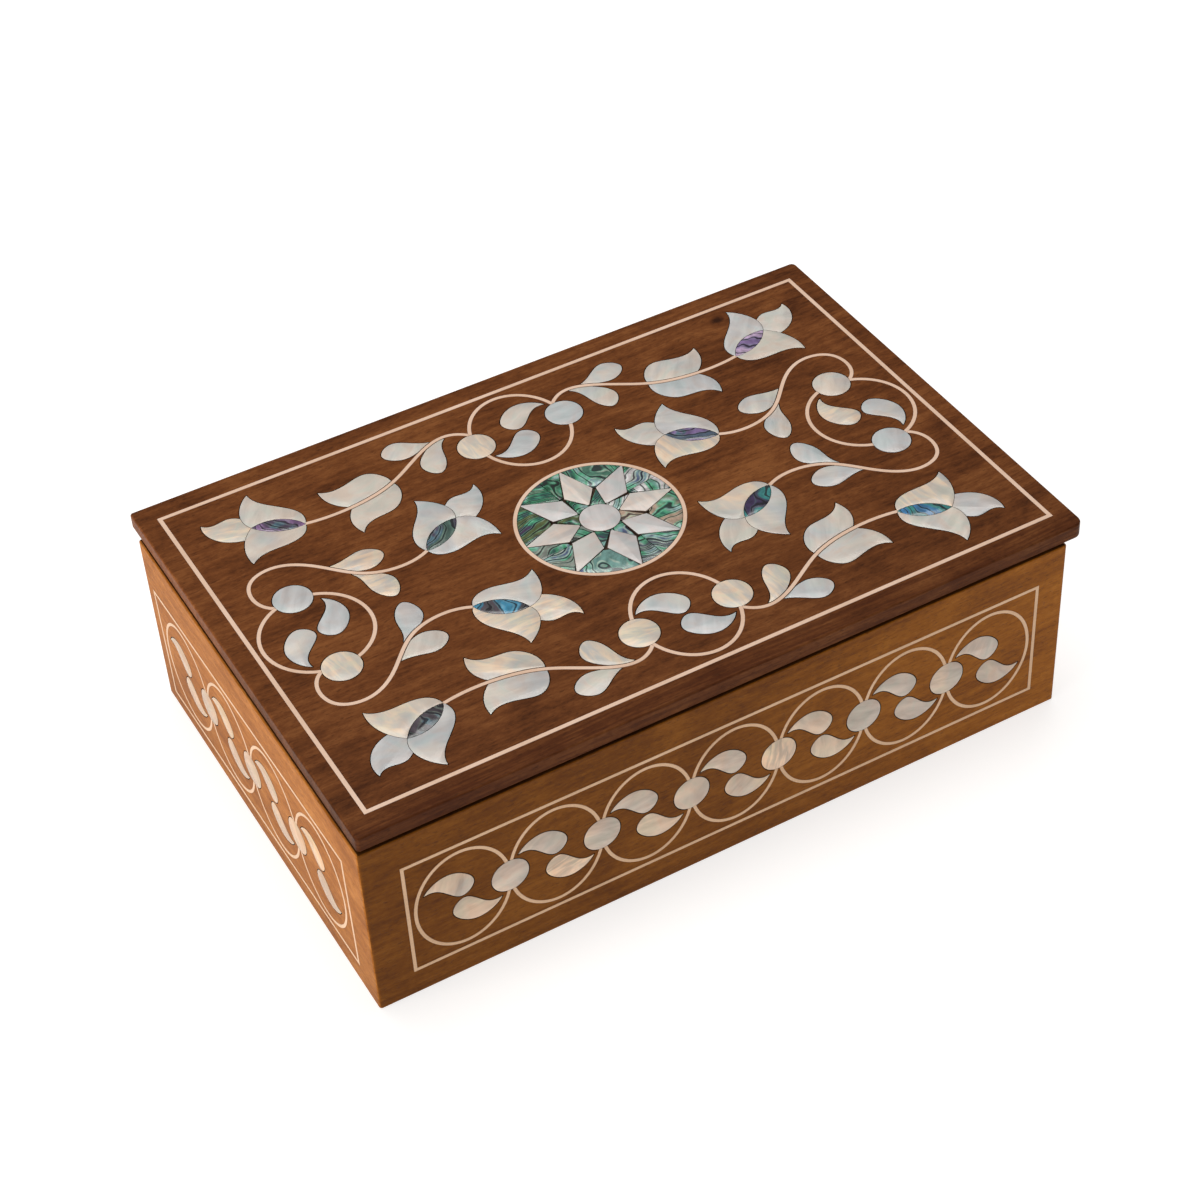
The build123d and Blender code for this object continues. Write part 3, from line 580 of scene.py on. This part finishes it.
def lining_piece(node, axis, outward, cloth):
    """Velvet glued over thin card: a soft-edged, slightly uneven panel in the place of a plain one."""
    low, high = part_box(node)
    across = [a for a in (X, Y, Z) if a != axis]
    edge = 0.9 * MM
    nap = 0.1 * MM

    def stations(start, end):
        """Places along one side, close together at the rolled edges."""
        rolled = [edge * (1 - math.cos(math.pi / 8 * i)) for i in range(5)]
        count = max(2, round((end - start) / (3 * MM)))
        middle = [start + edge + (end - start - 2 * edge) * i / count for i in range(1, count)]
        return [start + r for r in rolled] + middle + [end - r for r in reversed(rolled)]

    def roll(value, start, end):
        """How much of the thickness is left near an edge."""
        inset = min(value - start, end - value, edge) / edge
        return math.sqrt(max(0.0, 1 - (1 - inset) ** 2))

    rows = stations(low[across[0]], high[across[0]])
    columns = stations(low[across[1]], high[across[1]])
    face, back = (high[axis], low[axis]) if outward > 0 else (low[axis], high[axis])
    vertices = []
    for side in (0, 1):
        for u in rows:
            for v in columns:
                left = min(roll(u, rows[0], rows[-1]), roll(v, columns[0], columns[-1]))
                rise = 0.35 + 0.65 * left if side else 0.0
                point = [0.0, 0.0, 0.0]
                point[across[0]], point[across[1]] = u, v
                point[axis] = back + (face - back) * rise
                if side and left > 0.99:
                    spot = Vector((u * 90, v * 90, low[axis] * 300))
                    point[axis] -= outward * nap * (0.5 + 0.5 * noise.noise(spot))
                vertices.append(point)
    count_u, count_v = len(rows), len(columns)

    def at(side, i, j):
        return (side * count_u + i) * count_v + j

    faces = []
    for i in range(count_u - 1):
        for j in range(count_v - 1):
            faces.append((at(1, i, j), at(1, i + 1, j), at(1, i + 1, j + 1), at(1, i, j + 1)))
            faces.append((at(0, i, j), at(0, i, j + 1), at(0, i + 1, j + 1), at(0, i + 1, j)))
    for i in range(count_u - 1):
        for j in (0, count_v - 1):
            faces.append((at(0, i, j), at(0, i + 1, j), at(1, i + 1, j), at(1, i, j)))
    for j in range(count_v - 1):
        for i in (0, count_u - 1):
            faces.append((at(0, i, j), at(1, i, j), at(1, i, j + 1), at(0, i, j + 1)))
    mesh = bpy.data.meshes.new(node + "_velvet")
    mesh.from_pydata(vertices, [], faces)
    mesh.materials.append(cloth)
    piece = bpy.data.objects.new(node + "_velvet", mesh)
    bpy.context.scene.collection.objects.link(piece)
    bpy.context.view_layer.objects.active = piece
    piece.select_set(True)
    bpy.ops.object.mode_set(mode="EDIT")
    bpy.ops.mesh.select_all(action="SELECT")
    bpy.ops.mesh.normals_make_consistent(inside=False)
    bpy.ops.object.mode_set(mode="OBJECT")
    piece.select_set(False)
    for polygon in mesh.polygons:
        polygon.use_smooth = True
    body = nodes[node]["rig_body"]
    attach(piece, body)
    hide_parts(node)


# ---------------------------------------------------------------- the scene
bpy.context.scene.view_settings.view_transform = "Standard"
make_camera()
make_world()
make_floor()
for lamp in LAMPS:
    make_lamp(*lamp)

LID_CENTRE = [(a + b) / 2 for a, b in zip(*span("lid_panel"))]
# the knot's place on the lid and how far it bends the grain
KNOT = (LID_CENTRE[X] + 81.5, LID_CENTRE[Y] + 65.5, 7.0)
# the corner tulips' eyes lie farther than this from the lid's middle
CORNER_EYES = 65.0

LID_WOOD = [rgb(76, 41, 21), rgb(111, 64, 33), rgb(138, 86, 47)]
WALL_WOOD = [rgb(98, 53, 8), rgb(128, 76, 15), rgb(150, 95, 28)]
END_WOOD = [rgb(140, 80, 24), rgb(176, 109, 44), rgb(206, 138, 68)]
BASE_WOOD = [rgb(120, 82, 48), rgb(150, 106, 66), rgb(176, 130, 86)]
LID_TINTS = (Y, (0.42, 0.42, 0.43, 1), (0.5, 0.5, 0.5, 1), (0.49, 0.49, 0.5, 1))
FRONT_TINTS = (X, (0.40, 0.37, 0.37, 1), (0.45, 0.42, 0.44, 1), (0.75, 0.73, 0.87, 1))
BACK_TINTS = (X, (0.42, 0.37, 0.60, 1), (0.47, 0.41, 0.68, 1))
# painted shade: the end boards darker towards the bottom, cancelling the floor's bounce light on their
# lower part
END_PAINTED_SHADE = (Z, (0.36, 0.355, 0.36, 1), (0.44, 0.435, 0.455, 1), (0.455, 0.45, 0.475, 1))

shell = pearl("pearl_lid", rgb(198, 199, 200), rgb(212, 202, 190), rgb(232, 210, 184))
wall_shell = pearl("pearl_walls", rgb(202, 184, 168), rgb(214, 187, 160), rgb(244, 208, 172), contrast=0.75)
# painted light: a darker, warmer copy of the shell for the end walls, darkened against the strong lamp on
# the left and warmed as a painted reflection of its warm light
end_shell_painted_light = pearl("pearl_ends_painted_light", rgb(196, 166, 138), rgb(206, 170, 134), rgb(228, 186, 142), 0.15)
star_shell = pearl("pearl_star", rgb(206, 201, 200), rgb(212, 206, 200), rgb(220, 208, 198))
string = string_wood("maple_lid", rgb(216, 181, 154), rgb(232, 199, 175), rgb(242, 213, 193))
wall_string = string_wood("maple_walls", rgb(204, 164, 127), rgb(222, 182, 144), rgb(234, 196, 161))
cloth = velvet("wine_velvet")


def eye_main(paint):
    """Main colours of the tulips' eyes, by corner of the lid and by distance from its middle."""
    turns = around(paint, LID_CENTRE)
    deep = [rgb(190, 164, 196), rgb(132, 100, 142), rgb(56, 50, 56), rgb(58, 114, 160)]
    near = [rgb(72, 86, 106), rgb(72, 98, 90), rgb(64, 138, 172), rgb(58, 44, 78)]
    quarter = (0.0, 0.25, 0.5, 0.75)
    outer = paint.ramp(turns, *zip(quarter, deep), interpolation="CONSTANT")
    inner = paint.ramp(turns, *zip(quarter, near), interpolation="CONSTANT")
    from_middle = paint.math("ABSOLUTE", paint.math("SUBTRACT", paint.x, LID_CENTRE[X]))
    return paint.mix(paint.math("GREATER_THAN", from_middle, CORNER_EYES), inner, outer)


def eye_crossing(paint, sheet):
    """The colours that cross the main ones."""
    turns = around(paint, LID_CENTRE)
    second = [rgb(126, 104, 150), rgb(80, 66, 88), rgb(78, 70, 78), rgb(56, 130, 130)]
    quarters = paint.ramp(turns, *zip((0.0, 0.25, 0.5, 0.75), second), interpolation="CONSTANT")
    return paint.mix(paint.fit(sheet, 0.56, 0.68), quarters, rgb(72, 102, 118))


def mosaic_main(paint):
    """Main colour of each sector of the mosaic."""
    turns = around(paint, LID_CENTRE)
    sectors = [
        rgb(206, 200, 202), rgb(72, 116, 98), rgb(38, 98, 70), rgb(84, 94, 56),
        rgb(128, 134, 126), rgb(108, 148, 142), rgb(84, 90, 98), rgb(170, 146, 128),
    ]
    places = [i / 8 for i in range(8)]
    return paint.ramp(turns, *zip(places, sectors), interpolation="CONSTANT")


def mosaic_crossing(paint, sheet):
    """The darker and brighter bands that cross each sector."""
    return paint.ramp(
        sheet, (0.32, rgb(62, 50, 74)), (0.42, rgb(34, 84, 74)), (0.5, rgb(80, 160, 122)),
        (0.58, rgb(132, 170, 168)), (0.66, rgb(84, 96, 128)),
    )


# rim=(strength, inset) paints the lid's shadow on the walls' top faces; the end boards' ramp along Z is
# painted shade, darker towards the bottom
boards = {
    "lid_panel": wood(
        "walnut_lid", "lid_panel", (X, Y, Z), 1.0, LID_WOOD, 0.04,
        tones_and_shade=LID_TINTS, pattern=("lid_border", Z, 1), medallion=LID_CENTRE[:2], knot=KNOT,
        heart=(LID_CENTRE[Y] - 77.0, 4.0), end_grain=(0.7, 1.35),
    ),
    "front_panel": wood(
        "walnut_front", "front_panel", (X, Z, Y), 2.0, WALL_WOOD,
        tones_and_shade=FRONT_TINTS, pattern=("front_frame", Y, -1), rim=(0.7, 0.25),
    ),
    "back_panel": wood(
        "walnut_back", "back_panel", (X, Z, Y), 3.0, WALL_WOOD,
        tones_and_shade=BACK_TINTS, pattern=("back_frame", Y, 1), rim=(0.7, 0.25),
    ),
    "left_panel": wood(
        "walnut_left", "left_panel", (Y, Z, X), 4.0, END_WOOD, 0.025,
        tones_and_shade=END_PAINTED_SHADE, pattern=("left_frame", X, -1), rim=(0.85, 0.58),
    ),
    "right_panel": wood(
        "walnut_right", "right_panel", (Y, Z, X), 5.0, END_WOOD, 0.025,
        tones_and_shade=END_PAINTED_SHADE, pattern=("right_frame", X, 1), rim=(0.85, 0.58),
    ),
    "base_panel": wood("base_wood", "base_panel", (X, Y, Z), 6.0, BASE_WOOD),
}
material_by_slot = {
    "brass": brass("hinge_brass", rgb(198, 158, 88)),
    "brass_screw": brass("screw_brass", rgb(206, 168, 100)),
    "velvet": cloth,
}
abalone_by_node = {
    "lid_tulip_eyes": abalone("abalone_eyes", eye_main, eye_crossing, 2.4, 0.12),
    "medallion_mosaic": abalone("abalone_mosaic", mosaic_main, mosaic_crossing, 2.1, 0.55),
}
pearl_by_side = {
    "front": wall_shell, "back": wall_shell, "left": end_shell_painted_light, "right": end_shell_painted_light, "medallion": star_shell,
}
for name, obj in nodes.items():
    slot_name = obj.data.materials[0].name.split(".")[0]
    side = name.split("_")[0]
    if slot_name in ("pearl_shell", "abalone_shell"):
        finish = abalone_by_node.get(name) or pearl_by_side.get(side, shell)
        inlaid_pieces(name, OUTWARD.get(side, (0, 0, 1)), finish)
    elif slot_name == "pale_string":
        obj.material_slots[0].material = wall_string if side in OUTWARD else string
    else:
        obj.material_slots[0].material = boards.get(name) or material_by_slot[slot_name]

lining_piece("lining_floor", Z, 1, cloth)
lining_piece("lining_front", Y, 1, cloth)
lining_piece("lining_back", Y, -1, cloth)
lining_piece("lining_left", X, 1, cloth)
lining_piece("lining_right", X, -1, cloth)
lining_piece("lining_lid", Z, -1, cloth)
